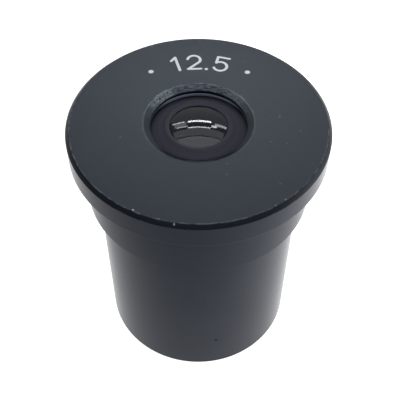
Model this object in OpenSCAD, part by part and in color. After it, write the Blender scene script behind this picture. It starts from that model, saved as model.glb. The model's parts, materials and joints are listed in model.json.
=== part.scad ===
// Wide-field 20x eyepiece with a 23.2 mm push-in tube.
// It stands on the open end of its tube: Z is the optical axis, and the eye looks down into the head.
// Every piece is turned about Z. Heights are measured up from the tube's open end.

/* [Push-in tube] */
// Outside diameter of the push-in tube
tube_d = 23.2; // [23:0.1:24.5]
// Length of the push-in tube, from its open end to the shoulder
tube_len = 22.7; // [21:0.1:34]
// Wall of the push-in tube
tube_wall = 1.3; // [1:0.05:1.5]
// Chamfer on the tube's open end, inside and out
tube_edge = 0.2; // [0.1:0.05:0.4]

/* [Collar] */
// Outside diameter of the collar whose shoulder stops the tube
collar_d = 25.5; // [25.2:0.1:27.5]
// Height of the collar
collar_h = 6.7; // [6.2:0.1:10]
// Wall of the collar round the head's thread
collar_wall = 1.65; // [1.2:0.05:1.9]

/* [Head] */
// Outside diameter of the disc head
head_d = 28.5; // [27.6:0.1:33]
// Height of the disc head
head_h = 3.1; // [2.9:0.1:4.5]
// Chamfer on the head's top edge
head_edge = 0.36; // [0.1:0.02:0.6]
// Width of the edge breaks under the head and the collar
edge_break = 0.12; // [0.05:0.01:0.3]
// Diameter of the eye hole's mouth in the top face
mouth_d = 11.8; // [11.2:0.1:13]
// Diameter of the eye hole's sharp lip
lip_d = 10.5; // [10.4:0.05:11]
// Depth of the conical mouth, from the top face to the lip
mouth_depth = 0.36; // [0.2:0.02:0.6]
// Height of the lip's land
lip_land = 0.1; // [0.05:0.01:0.2]
// How far the undercut behind the lip goes back
undercut = 0.2; // [0.1:0.05:0.5]
// Length of the head's threaded spigot
spigot_len = 4.2; // [3.9:0.1:4.9]

/* [Threads] */
// Pitch of the head's thread and of the field stop's thread
pitch = 0.75; // [0.7:0.05:1]
// Height of a thread ridge
ridge_h = 0.4; // [0.3:0.02:0.5]
// Width of a thread ridge at its root
ridge_root_w = 0.4; // [0.3:0.02:0.44]
// Width of a thread ridge at its crest
ridge_crest_w = 0.12; // [0.08:0.02:0.16]
// Clearance between the inner and the outer thread
thread_gap = 0.1; // [0.08:0.01:0.15]

/* [Marking] */
// How far in from the head's edge the marks' middles stand
mark_inset = 4.6; // [3.4:0.05:5.2]
// Height of a figure
mark_h = 2.3; // [1.6:0.1:2.4]
// Width of a figure
mark_w = 1.45; // [1.2:0.05:1.6]
// Width of an engraved stroke
stroke = 0.34; // [0.2:0.01:0.4]
// Depth of the engraving
engrave_depth = 0.15; // [0.1:0.01:0.25]
// How far the paint lies below the top face
paint_drop = 0.03; // [0.01:0.01:0.06]
// Gap between the paint and the groove's walls
paint_gap = 0.01; // [0.005:0.005:0.02]

/* [Lens barrel] */
// Diameter of the nose that rises into the eye hole
nose_d = 10.45; // [10.2:0.05:10.5]
// Drop from the top face to the nose's rim
rim_drop = 0.53; // [0.45:0.01:0.7]
// Diameter of the knee between the nose's two cones
knee_d = 8.2; // [7.6:0.1:8.4]
// Drop from the top face to the knee
knee_drop = 0.88; // [0.8:0.01:0.92]
// Drop from the top face to the nose's lower edge
nose_drop = 1.5; // [1.4:0.05:1.8]
// Diameter of the window in the nose
window_d = 6.3; // [5.6:0.1:6.6]
// Drop from the top face to the flange that seats the barrel in the head
flange_drop = 2.4; // [2.1:0.05:2.6]
// Diameter of the flange
flange_d = 18; // [17.4:0.1:18.2]
// Height of the flange
flange_h = 1.5; // [1:0.1:1.7]
// Outside diameter of the barrel below its flange
barrel_d = 15.2; // [14.9:0.1:16]
// Gap between turned pieces that slide or screw into each other
fit_gap = 0.05; // [0.03:0.01:0.08]
// Gap between a lens and the piece that it seats on
seat_gap = 0.03; // [0.02:0.005:0.05]

/* [Lenses] */
// Drop from the top face to the eye lens
eye_lens_drop = 0.24; // [0.24:0.01:0.3]
// Diameter of the eye lens
eye_lens_d = 8.8; // [8.4:0.1:9]
// Radius of the eye lens's dome
eye_lens_r = 10; // [9.8:0.1:11]
// Thickness of the eye lens
eye_lens_t = 2.4; // [2.2:0.1:2.6]
// Air space between the eye lens and the middle lens
upper_space = 1.8; // [1.6:0.1:2.2]
// Diameter of the middle lens and of the doublet
field_lens_d = 12.8; // [12.4:0.1:13]
// Radius of the middle lens's dome
middle_lens_r = 60; // [40:1:80]
// Thickness of the middle lens
middle_lens_t = 3; // [2.6:0.1:3.4]
// Air space between the middle lens and the doublet
lower_space = 0.5; // [0.4:0.1:1]
// Radius of the crown's outer dome
crown_r = 20; // [18:0.5:28]
// Radius of the cemented face
cement_r = 12; // [11:0.5:14]
// Radius of the flint's outer face
flint_r = 30; // [26:1:50]
// Thickness of the crown
crown_t = 4.6; // [4.4:0.1:5]
// Thickness of the flint
flint_t = 1.6; // [1.4:0.1:2]
// Cement gap between the crown and the flint
cement_gap = 0.01; // [0.005:0.005:0.02]
// Wall of the spacers, measured in from the lens's edge
spacer_wall = 0.7; // [0.4:0.1:0.9]

/* [Locking rings] */
// Height of the ring that locks the barrel's flange in the head
lock_ring_h = 1.5; // [1:0.1:1.7]
// Width of the spanner slots
slot_w = 1; // [0.6:0.1:1.6]
// Depth of the spanner slots
slot_depth = 0.7; // [0.4:0.05:0.9]
// Height of the ring that holds the lens stack
retainer_h = 1.8; // [1.5:0.1:2]
// Depth of thread under the lens stack, measured in from the lens's edge
retainer_step = 0.5; // [0.4:0.05:0.55]

/* [Field stop] */
// Drop from the shoulder to the field stop
stop_drop = 8.8; // [8.4:0.1:10]
// Diameter of the field stop's hole
stop_hole_d = 11; // [9:0.1:13]
// Thickness of the field stop
stop_t = 0.3; // [0.2:0.05:0.4]
// Wall of the carrier outside the field stop
carrier_wall = 1; // [0.9:0.05:1.2]
// Width of the ledges that hold the field stop
ledge_w = 1.35; // [1:0.05:1.5]
// Height of the carrier above the field stop
carrier_top_h = 1.7; // [1.2:0.1:1.8]
// Height of the carrier below the field stop
carrier_skirt_h = 2; // [1.9:0.1:2.4]
// Height of the ring that holds the field stop
stop_retainer_h = 1.4; // [1:0.1:1.6]
// Gap over and under the field stop in its carrier
stop_gap = 0.03; // [0.02:0.01:0.05]
// How far the field stop's thread is cut back into the tube's wall
thread_relief = 0.2; // [0.1:0.05:0.25]
// How far the carrier can be screwed up or down
stop_travel = 1.5; // [0.8:0.1:1.6]

/* [Hidden] */
$fn = 144;

// How far a cut runs past the face that it opens
over = 0.5;
// How deep a thread ridge is rooted in the wall that carries it
rooting = 0.12;
// Straight steps in one turn of a thread ridge
ridge_steps = 36;
// Steps over which a thread ridge rises at its ends
fade_steps = 9;

shoulder_z = tube_len;
head_z = shoulder_z + collar_h;
top_z = head_z + head_h;

// Tube and collar
tube_r = tube_d / 2;
tube_bore_r = tube_r - tube_wall;
collar_bore_r = collar_d / 2 - collar_wall;
collar_bore_depth = spigot_len + 0.8;
collar_floor_z = head_z - collar_bore_depth;

// Head
spigot_r = collar_bore_r - ridge_h - thread_gap;
spigot_z = head_z - spigot_len;
lip_r = lip_d / 2;
undercut_r = lip_r + undercut;
undercut_z = top_z - mouth_depth - lip_land;
head_bore_r = flange_d / 2 + fit_gap;
mark_r = head_d / 2 - mark_inset;

// Thread of the head: the outer ridge runs half a pitch above the inner one
head_inner_z = collar_floor_z + pitch;
head_outer_z = head_inner_z + pitch / 2;
head_inner_turns = floor((head_z - head_inner_z) / pitch - 0.5);
head_outer_turns = floor((head_z - head_outer_z) / pitch - 0.5);

// Lens barrel
flange_z = top_z - flange_drop;
barrel_r = barrel_d / 2;
lens_bore_r = field_lens_d / 2 + fit_gap;
eye_bore_r = eye_lens_d / 2 + fit_gap;
retainer_bore_r = lens_bore_r + retainer_step;

// Lens stack, from the eye downwards: where each face meets the axis
eye_z = top_z - eye_lens_drop;
eye_base_z = eye_z - eye_lens_t;
middle_z = eye_base_z - upper_space;
middle_base_z = middle_z - middle_lens_t;
crown_z = middle_base_z - lower_space;
cement_z = crown_z - crown_t;
flint_z = cement_z - flint_t;
lens_r = field_lens_d / 2;
spacer_r = lens_r - spacer_wall;
upper_spacer_r = eye_lens_d / 2 - spacer_wall;
flint_edge_z = flint_z + sag(flint_r, lens_r);
retainer_top_z = flint_edge_z;
retainer_z = retainer_top_z - retainer_h;
barrel_z = retainer_z - 0.1;
lens_bore_top_z = middle_z + 0.3;

// Field stop and its carrier
stop_z = shoulder_z - stop_drop;
stop_top_z = stop_z - stop_gap;
stop_under_z = stop_top_z - stop_t;
stop_thread_r = tube_bore_r + thread_relief;
carrier_r = stop_thread_r - ridge_h - thread_gap;
stop_seat_r = carrier_r - carrier_wall;
stop_r = stop_seat_r - fit_gap;
ledge_r = stop_seat_r - ledge_w;
carrier_top_z = stop_z + carrier_top_h;
carrier_z = stop_under_z - carrier_skirt_h;

// Thread of the carrier, laid out like the head's, with room to travel at both ends
stop_outer_turns = floor((carrier_top_z - carrier_z - ridge_root_w) / pitch);
stop_travel_turns = ceil(stop_travel / pitch);
stop_inner_turns = stop_outer_turns + 2 * stop_travel_turns;
stop_outer_z = (carrier_z + carrier_top_z - stop_outer_turns * pitch) / 2;
stop_inner_z = stop_outer_z - pitch * (stop_travel_turns + 0.5);
stop_thread_floor_z = stop_inner_z - pitch / 2;

// Height of a spherical cap of radius r at the distance d from its axis
function sag(r, d) = r - sqrt(r * r - d * d);

// A piece turned about Z from its outline, given as radius and height
module turned(outline) {
    rotate_extrude() polygon(outline);
}

// A straight bore or pin between two heights
module round_bar(r, low_z, high_z) {
    translate([0, 0, low_z]) cylinder(r = r, h = high_z - low_z);
}

// A plain ring between two heights
module ring(outer_r, inner_r, low_z, high_z) {
    difference() {
        round_bar(outer_r, low_z, high_z);
        round_bar(inner_r, low_z - over, high_z + over);
    }
}

// A ball whose top or bottom lies at the height z on the axis
module dome_up(r, z) {
    translate([0, 0, z - r]) sphere(r = r);
}

module dome_down(r, z) {
    translate([0, 0, z + r]) sphere(r = r);
}

// Two spanner slots across the underside of a ring
module spanner_slots(r, low_z) {
    translate([-r - over, -slot_w / 2, low_z - over]) cube([2 * (r + over), slot_w, slot_depth + over]);
}

// One section of a thread ridge: root, crest, crest, root
function ridge_section(root_r, crest_r, angle, z) = [
    for (corner = [[root_r, -ridge_root_w], [crest_r, -ridge_crest_w],
                   [crest_r, ridge_crest_w], [root_r, ridge_root_w]])
        [corner[0] * cos(angle), corner[0] * sin(angle), z + corner[1] / 2]
];

// A right-hand thread ridge that stands out of a wall, inwards if crest_r is the smaller radius
module thread_ridge(wall_r, crest_r, start_z, turns) {
    outward = crest_r > wall_r;
    root_r = outward ? wall_r - rooting : wall_r + rooting;
    last = turns * ridge_steps;
    sections = [for (i = [0 : last])
        let(rise = min(1, (i + 1) / fade_steps, (last - i + 1) / fade_steps),
            section = ridge_section(root_r, root_r + (crest_r - root_r) * rise,
                                    360 * i / ridge_steps, start_z + pitch * i / ridge_steps))
            outward ? section : [section[3], section[2], section[1], section[0]]];
    sides = [for (i = [0 : last - 1], k = [0 : 3])
        [4 * i + k, 4 * i + (k + 1) % 4, 4 * (i + 1) + (k + 1) % 4, 4 * (i + 1) + k]];
    ends = [[0, 3, 2, 1], [for (k = [0 : 3]) 4 * last + k]];
    polyhedron(points = [for (section = sections) each section], faces = concat(sides, ends));
}

// Engraved marks, drawn flat round the origin with their tops outward

// A straight stroke with round ends
module line_mark(from, to, w) {
    along = to - from;
    translate(from) circle(d = w);
    translate(to) circle(d = w);
    translate(from) rotate(atan2(along[1], along[0])) translate([0, -w / 2]) square([norm(along), w]);
}

// A curved stroke with round ends, anticlockwise from one angle to another
module arc_mark(centre, r, from, to, w) {
    middle = (from + to) / 2;
    reach = 3 * r;
    half = (to - from) / 2;
    translate(centre) {
        intersection() {
            difference() {
                circle(r = r + w / 2);
                circle(r = r - w / 2);
            }
            polygon([[0, 0], for (share = [-1 : 0.5 : 1])
                let(angle = middle + share * half) reach * [cos(angle), sin(angle)]]);
        }
        for (angle = [from, to]) translate(r * [cos(angle), sin(angle)]) circle(d = w);
    }
}

module figure_one(w) {
    top = [mark_w * 0.12, mark_h / 2];
    line_mark([top[0], -mark_h / 2], top, w);
    line_mark(top, [-mark_w * 0.28, mark_h * 0.28], w);
}

module figure_two(w) {
    r = mark_w / 2;
    centre = [0, mark_h / 2 - r];
    foot = [-r, -mark_h / 2];
    knee_angle = -35;
    arc_mark(centre, r, knee_angle, 170, w);
    line_mark(centre + r * [cos(knee_angle), sin(knee_angle)], foot, w);
    line_mark(foot, [r, -mark_h / 2], w);
}

module figure_five(w) {
    r = mark_w * 0.52;
    left = -mark_w / 2 + 0.08 * mark_w;
    centre = [0, r - mark_h / 2];
    start_angle = 140;
    start = centre + r * [cos(start_angle), sin(start_angle)];
    line_mark([left, mark_h / 2], [mark_w / 2, mark_h / 2], w);
    line_mark([left, mark_h / 2], start, w);
    arc_mark(centre, r, -150, start_angle, w);
}

module point_mark(w) {
    translate([0, -mark_h / 2]) circle(d = w * 1.25);
}

module round_mark(w) {
    circle(d = w * 1.9);
}

// The row of marks on the far side of the head: each stands on its own radius of the top face
module marks(w) {
    turn_to(34.5) round_mark(w);
    turn_to(16) figure_one(w);
    turn_to(3.5) figure_two(w);
    turn_to(-5.5) point_mark(w);
    turn_to(-15) figure_five(w);
    turn_to(-34.5) round_mark(w);
}

module turn_to(angle) {
    rotate(angle) translate([0, mark_r]) children();
}

// Push-in tube and collar, one turning, with the threads for the head and for the field stop
module body_tube() {
    color([0.16, 0.17, 0.19]) union() {
        turned([
            [tube_bore_r + tube_edge, 0], [tube_r - tube_edge, 0], [tube_r, tube_edge],
            [tube_r, shoulder_z], [collar_d / 2 - edge_break, shoulder_z],
            [collar_d / 2, shoulder_z + edge_break], [collar_d / 2, head_z],
            [collar_bore_r, head_z], [collar_bore_r, collar_floor_z],
            [stop_thread_r, collar_floor_z], [stop_thread_r, stop_thread_floor_z],
            [tube_bore_r, stop_thread_floor_z], [tube_bore_r, tube_edge]
        ]);
        thread_ridge(collar_bore_r, collar_bore_r - ridge_h, head_inner_z, head_inner_turns);
        thread_ridge(stop_thread_r, stop_thread_r - ridge_h, stop_inner_z, stop_inner_turns);
    }
}

// Disc head with the eye hole, and the threaded spigot that screws into the collar
module eye_cap() {
    color([0.17, 0.18, 0.2]) union() {
        difference() {
            turned([
                [lip_r, top_z - mouth_depth], [mouth_d / 2, top_z], [head_d / 2 - head_edge, top_z],
                [head_d / 2, top_z - head_edge], [head_d / 2, head_z + edge_break],
                [head_d / 2 - edge_break, head_z], [spigot_r, head_z], [spigot_r, spigot_z],
                [head_bore_r, spigot_z], [head_bore_r, flange_z], [undercut_r, flange_z],
                [undercut_r, undercut_z], [lip_r, undercut_z]
            ]);
            translate([0, 0, top_z - engrave_depth]) linear_extrude(engrave_depth + over) marks(stroke);
        }
        thread_ridge(spigot_r, spigot_r + ridge_h, head_outer_z, head_outer_turns);
    }
}

// White paint that fills the engraved marks
module marking_paint() {
    color([0.9, 0.9, 0.88]) translate([0, 0, top_z - engrave_depth])
        linear_extrude(engrave_depth - paint_drop) marks(stroke - 2 * paint_gap);
}

// Inner cell: a nose round the eye lens, a flange that seats in the head, and the bore for the lens stack
module lens_barrel() {
    color([0.1, 0.1, 0.11]) difference() {
        turned([
            [0, barrel_z], [barrel_r, barrel_z], [barrel_r, flange_z - flange_h],
            [flange_d / 2, flange_z - flange_h], [flange_d / 2, flange_z],
            [nose_d / 2, flange_z], [nose_d / 2, top_z - nose_drop],
            [knee_d / 2, top_z - knee_drop], [window_d / 2, top_z - rim_drop], [0, top_z - rim_drop]
        ]);
        round_bar(window_d / 2, eye_base_z, top_z);
        intersection() {
            round_bar(eye_bore_r, middle_z, top_z);
            dome_up(eye_lens_r + seat_gap, eye_z + seat_gap);
        }
        round_bar(lens_bore_r, barrel_z - over, lens_bore_top_z);
        round_bar(retainer_bore_r, barrel_z - over, retainer_top_z + fit_gap);
    }
}

// Slotted ring that clamps the barrel's flange against the head
module barrel_lock_ring() {
    low_z = flange_z - flange_h - lock_ring_h;
    color([0.13, 0.13, 0.14]) difference() {
        ring(head_bore_r - fit_gap, barrel_r + 3 * fit_gap, low_z, low_z + lock_ring_h);
        spanner_slots(head_bore_r, low_z);
    }
}

// Plano-convex eye lens, dome towards the eye
module eye_lens() {
    color([0.7, 0.8, 0.82, 0.5]) intersection() {
        round_bar(eye_lens_d / 2, eye_base_z, top_z);
        dome_up(eye_lens_r, eye_z);
    }
}

// Thin sleeve that holds the eye lens up off the middle lens
module upper_spacer() {
    color([0.1, 0.1, 0.11]) difference() {
        ring(eye_lens_d / 2, upper_spacer_r, middle_z - sag(middle_lens_r, lens_r), eye_base_z);
        dome_up(middle_lens_r + seat_gap, middle_z + seat_gap);
    }
}

// Weak plano-convex middle lens
module middle_lens() {
    color([0.7, 0.8, 0.82, 0.5]) intersection() {
        round_bar(lens_r, middle_base_z, middle_z);
        dome_up(middle_lens_r, middle_z);
    }
}

// Ring between the middle lens and the doublet
module lower_spacer() {
    color([0.1, 0.1, 0.11]) difference() {
        ring(lens_r, spacer_r, crown_z - sag(crown_r, lens_r), middle_base_z);
        dome_up(crown_r + seat_gap, crown_z + seat_gap);
    }
}

// Crown half of the field doublet, convex on both faces
module crown_lens() {
    color([0.7, 0.8, 0.82, 0.5]) intersection() {
        round_bar(lens_r, cement_z, crown_z);
        dome_up(crown_r, crown_z);
        dome_down(cement_r, cement_z);
    }
}

// Flint half of the field doublet, hollow towards the crown
module flint_lens() {
    color([0.66, 0.78, 0.8, 0.5]) difference() {
        intersection() {
            round_bar(lens_r, flint_z, cement_z + sag(cement_r, lens_r) - 10 * cement_gap);
            dome_down(flint_r, flint_z);
        }
        dome_down(cement_r + cement_gap, cement_z - cement_gap);
    }
}

// Slotted ring that holds the lens stack up in the barrel
module lens_retainer() {
    color([0.13, 0.13, 0.14]) difference() {
        ring(retainer_bore_r - fit_gap, spacer_r, retainer_z, retainer_top_z);
        dome_down(flint_r + seat_gap, flint_z - seat_gap);
        spanner_slots(retainer_bore_r, retainer_z);
    }
}

// Threaded carrier of the field stop, screwed up or down in the tube to set the focus of the field's edge
module stop_carrier() {
    color([0.14, 0.14, 0.15]) union() {
        difference() {
            round_bar(carrier_r, carrier_z, carrier_top_z);
            round_bar(ledge_r, carrier_z - over, carrier_top_z + over);
            round_bar(stop_seat_r, carrier_z - over, stop_z);
            spanner_slots(carrier_r, carrier_z);
        }
        thread_ridge(carrier_r, carrier_r + ridge_h, stop_outer_z, stop_outer_turns);
    }
}

// Thin diaphragm whose hole is the edge of the field
module field_stop() {
    color([0.12, 0.12, 0.12]) ring(stop_r, stop_hole_d / 2, stop_under_z, stop_top_z);
}

// Slotted ring that holds the field stop in its carrier
module stop_retainer() {
    low_z = stop_under_z - stop_gap - stop_retainer_h;
    color([0.13, 0.13, 0.14]) difference() {
        ring(stop_r, ledge_r, low_z, low_z + stop_retainer_h);
        spanner_slots(stop_seat_r, low_z);
    }
}

body_tube();
eye_cap();
marking_paint();
lens_barrel();
barrel_lock_ring();
eye_lens();
upper_spacer();
middle_lens();
lower_spacer();
crown_lens();
flint_lens();
lens_retainer();
stop_carrier();
field_stop();
stop_retainer();
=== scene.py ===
"""Builds the looks of a push-in eyepiece round its packed CAD parts.

Turned pieces with broken edges, threads, engraved marks and ground lenses stand for the plain CAD nodes,
and the paint in the marks stays the CAD's own. Finishes, floor, lights and camera are made here too.
"""

import json
import math

import bpy
from mathutils import Euler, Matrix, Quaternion, Vector


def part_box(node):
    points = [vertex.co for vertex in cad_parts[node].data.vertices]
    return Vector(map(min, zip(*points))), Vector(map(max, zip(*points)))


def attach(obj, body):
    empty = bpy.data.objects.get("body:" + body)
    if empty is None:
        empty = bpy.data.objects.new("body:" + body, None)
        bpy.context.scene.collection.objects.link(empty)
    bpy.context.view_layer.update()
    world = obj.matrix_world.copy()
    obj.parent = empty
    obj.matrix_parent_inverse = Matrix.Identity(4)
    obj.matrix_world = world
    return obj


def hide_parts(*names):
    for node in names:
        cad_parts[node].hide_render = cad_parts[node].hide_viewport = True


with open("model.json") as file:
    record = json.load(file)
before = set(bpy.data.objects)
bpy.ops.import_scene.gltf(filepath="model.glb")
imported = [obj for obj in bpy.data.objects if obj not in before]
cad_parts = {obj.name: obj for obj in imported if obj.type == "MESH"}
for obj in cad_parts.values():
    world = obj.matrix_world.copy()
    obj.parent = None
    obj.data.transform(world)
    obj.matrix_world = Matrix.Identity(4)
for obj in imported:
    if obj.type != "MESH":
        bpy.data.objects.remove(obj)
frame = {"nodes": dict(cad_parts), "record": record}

bl_info = {
    "name": "Microscope Eyepiece",
    "version": (1, 0, 0),
    "blender": (4, 5, 0),
    "location": "3D View > Sidebar > Eyepiece",
    "description": "Builds the looks of a push-in eyepiece round its packed CAD parts",
    "category": "Object",
}

MM = 0.001
# Points closer than this, in metres, are one point
SAME = 1e-6
# Faces round a turned piece, round the head and round a lens, and along one turn of a thread
STEPS = 144
HEAD_STEPS = 192
LENS_STEPS = 128
THREAD_STEPS = 72
# Steps along the outline of a dome, or of a seat that follows one
EYE_DOME_STEPS = 24
MIDDLE_DOME_STEPS = 16
DOUBLET_DOME_STEPS = 20
CELL_SEAT_STEPS = 10
RING_SEAT_STEPS = 4
# Faces count as a lens's edge, or as the head's side, while the height of their normal is less than this
LENS_EDGE_NORMAL = 0.75
HEAD_SIDE_NORMAL = 0.3
# Edges that turn by less than this are shaded smooth
SMOOTH_ANGLE = math.radians(32)
# The rounding of a turned piece's edges, and the air round the engraved paint and over the floor
BROKEN_EDGE = 0.03 * MM
ENGRAVING_GAP = 0.01 * MM
FLOOR_GAP = 0.02 * MM
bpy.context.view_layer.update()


def reach_and_top(node):
    """How far a node reaches from the optical axis on every side, and how high."""
    low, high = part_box(node)
    return min(-low.x, -low.y, high.x, high.y), high.z


HEAD_REACH, HEAD_TOP = reach_and_top("eye_cap")
COLLAR_REACH, COLLAR_TOP = reach_and_top("body_tube")


# Shader maths


class Value:
    """A number that varies over a surface. Python's operators on it add Math nodes."""

    def __init__(self, finish, socket):
        self.finish, self.socket = finish, socket

    def math(self, operation, *inputs):
        return self.finish.node("ShaderNodeMath", {"operation": operation}, inputs)

    def __add__(self, other):
        return self.math("ADD", self, other)

    __radd__ = __add__

    def __sub__(self, other):
        return self.math("SUBTRACT", self, other)

    def __rsub__(self, other):
        return self.math("SUBTRACT", other, self)

    def __mul__(self, other):
        return self.math("MULTIPLY", self, other)

    __rmul__ = __mul__

    def __truediv__(self, other):
        return self.math("DIVIDE", self, other)

    def __rtruediv__(self, other):
        return self.math("DIVIDE", other, self)

    def __pow__(self, other):
        return self.math("POWER", self, other)

    def rise(self, low, high):
        """0 on low's side and 1 on high's side, with a smooth step between; low may be the larger."""
        if low > high:
            return 1 - self.rise(high, low)
        settings = {"interpolation_type": "SMOOTHSTEP"}
        return self.finish.node("ShaderNodeMapRange", settings, {0: self, 1: low, 2: high, 3: 0.0, 4: 1.0})

    def band(self, middle, half, soft):
        """1 within half of middle, falling to 0 over soft on both sides."""
        away = self.math("ABSOLUTE", self - middle)
        return away.rise(half + soft, half)

    def swing(self, amount):
        """Turns what varies between 0 and 1 into what varies round 0, by an amount in all."""
        return (self - 0.5) * amount


class Finish:
    """A procedural material in the making: its node method adds any node and returns its output."""

    def __init__(self, name):
        self.material = bpy.data.materials.new(name)
        self.material.use_nodes = True
        self.tree = self.material.node_tree
        self.shader = self.tree.nodes["Principled BSDF"]

    def put(self, socket, value):
        """Links a socket to a Value, or sets it to a plain number, vector or colour."""
        if isinstance(value, Value):
            self.tree.links.new(value.socket, socket)
        else:
            socket.default_value = value

    def node(self, kind, settings=None, inputs=(), output=0):
        made = self.tree.nodes.new(kind)
        for name, value in (settings or {}).items():
            setattr(made, name, value)
        pairs = inputs.items() if isinstance(inputs, dict) else enumerate(inputs)
        for key, value in pairs:
            self.put(made.inputs[key], value)
        return Value(self, made.outputs[output])

    def place(self):
        """Where a point of the surface lies on the object, in millimetres."""
        metres = self.node("ShaderNodeTexCoord", output="Object")
        return self.node("ShaderNodeVectorMath", {"operation": "SCALE"}, {0: metres, "Scale": 1 / MM})

    def split(self, vector):
        """The three numbers of a vector."""
        split = self.node("ShaderNodeSeparateXYZ", inputs=[vector])
        return [Value(self, socket) for socket in split.socket.node.outputs]

    def vector(self, x, y, z):
        return self.node("ShaderNodeCombineXYZ", inputs=[x, y, z])

    def noise(self, place, scale=1.0, detail=2.0, roughness=0.5):
        inputs = {"Vector": place, "Scale": scale, "Detail": detail, "Roughness": roughness}
        return self.node("ShaderNodeTexNoise", inputs=inputs)

    def blend(self, factor, a, b):
        """Colour a where factor is 0 and colour b where it is 1."""
        settings = {"data_type": "RGBA", "clamp_factor": True}
        return self.node("ShaderNodeMix", settings, {0: factor, 6: a, 7: b}, output=2)

    def surface(self, **values):
        """Sets the shader's sockets: base_color=..., roughness=... and so on."""
        for name, value in values.items():
            words = name.replace("_", " ").title().replace("Ior", "IOR")
            self.put(self.shader.inputs[words], value)

    def bump(self, height, depth):
        """Where height is 1, the surface stands out by depth in millimetres."""
        inputs = {"Distance": depth * MM, "Height": height}
        self.put(self.shader.inputs["Normal"], self.node("ShaderNodeBump", inputs=inputs))


class TurnedFinish(Finish):
    """A turned piece's finish, which knows where a point lies about the optical axis.

    Its lengths are in millimetres, and turn goes from -0.5 to 0.5 round the axis, with 0 on the +X side.
    """

    def __init__(self, name):
        super().__init__(name)
        self.at = self.place()
        self.x, self.y, self.height = self.split(self.at)
        self.radius = (self.x * self.x + self.y * self.y) ** 0.5
        self.turn = self.x.math("ARCTAN2", self.y, self.x) / (2 * math.pi)

    def tool_lines(self, per_mm, per_turn):
        """Lines that a tool leaves round the axis, so many to a millimetre and so many changes to a turn."""
        lines = self.vector(self.radius * per_mm, self.height * per_mm, self.turn * per_turn)
        return self.noise(lines, detail=3.0, roughness=0.6)


def rgba(colour):
    """A colour with the alpha that a socket wants."""
    return (*colour[:3], 1.0)


# Materials

# The anodise's reflected light, its roughness and strength of reflection, and its grain in millimetres
HEAD_TINT = (0.76, 0.87, 1.0, 1.0)
TUBE_TINT = (0.62, 0.74, 1.0, 1.0)
HEAD_ROUGHNESS = 0.34
TUBE_ROUGHNESS = 0.21
HEAD_SHEEN = 0.285
TUBE_SHEEN = 0.06
SATIN_DEPTH = 0.002
# The speck on the tube: turn about the axis, and height in millimetres
SPECK_TURN = -0.2186
SPECK_HEIGHT = 5.63
# Painted shade darkens the tube's foot between these heights in millimetres
FOOT_SHADE_HIGH = 0.5
FOOT_SHADE_LOW = 0.15
# Colour of the dark speck, and of the painted shade at the tube's foot
SPECK_AND_FOOT_SHADE = (0.001, 0.001, 0.0015, 1.0)
# Chips in the head's upper edge: turn about the axis, distance from it and width in millimetres, brightness
EDGE_CHIPS = (
    (-0.326, 13.66, 0.12, 0.5), (-0.294, 13.72, 0.08, 0.25), (-0.276, 13.95, 0.12, 0.35),
    (-0.158, 13.72, 0.10, 0.2), (-0.143, 13.72, 0.12, 0.2))
# Painted highlights on the mouth's cone: turn about the axis, half width and soft edge in turns, brightness
CONE_HIGHLIGHTS = ((0.385, 0.03, 0.03, 1.0), (0.12, 0.015, 0.025, 0.5))
# The mouth's flanks begin and are full where the distance to the side, squared, is this in square millimetres
FLANK_BEGINS = 9.0
FLANK_FULL = 22.0
GLASS_IOR = 1.52
# The coated inner faces reflect as little as a glass of this index would
COATED_IOR = 1.25
CLEAR_GLASS = (0.97, 0.985, 0.975, 1.0)
# The eye lens's outer face is tinted dark and hazy: painted shade for the dark inside of the eyepiece
EYE_PAINTED_SHADE = (0.035, 0.035, 0.04, 1.0)
EYE_CLEARNESS = 0.84
GROUND_DARK = (0.006, 0.006, 0.008, 1.0)
GROUND_LIGHT = (0.016, 0.016, 0.018, 1.0)


def satin(finish, dark, light):
    """The anodise's fine tool lines, slow cloud and fine grain. Returns the base colour, lines and grain."""
    lines = finish.tool_lines(per_mm=9.0, per_turn=3.0)
    cloud = finish.noise(finish.at, scale=0.16)
    grain = finish.noise(finish.at, scale=14.0, roughness=0.6)
    tone = lines.swing(0.5) + cloud.swing(0.7) + grain.swing(0.5) + 0.5
    return finish.blend(tone, rgba(dark), rgba(light)), lines, grain


def satin_roughness(mean, lines, grain):
    return mean + lines.swing(0.06) + grain.swing(0.06)


def tube_anodised(name, colours):
    """Black anodised aluminium with fine turned lines round the tube, a speck and painted shade at its foot.
    """
    finish = TurnedFinish(name)
    base, lines, grain = satin(finish, colours.tube_dark, colours.tube_light)
    speck = finish.turn.band(SPECK_TURN, half=0.0016, soft=0.002)
    speck = speck * finish.height.band(SPECK_HEIGHT, half=0.10, soft=0.12)
    # Painted shade at the tube's foot, darkest next to the floor
    foot = finish.height.rise(FOOT_SHADE_HIGH, FOOT_SHADE_LOW)
    base = finish.blend(speck * 0.9 + foot * 0.5, base, SPECK_AND_FOOT_SHADE)
    roughness = satin_roughness(TUBE_ROUGHNESS, lines, grain) + speck * 0.5 + foot * 0.3
    finish.surface(
        base_color=base, roughness=roughness, specular_ior_level=TUBE_SHEEN, specular_tint=TUBE_TINT)
    finish.bump(lines * 0.6 + grain * 0.4, SATIN_DEPTH)
    return finish.material


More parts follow.
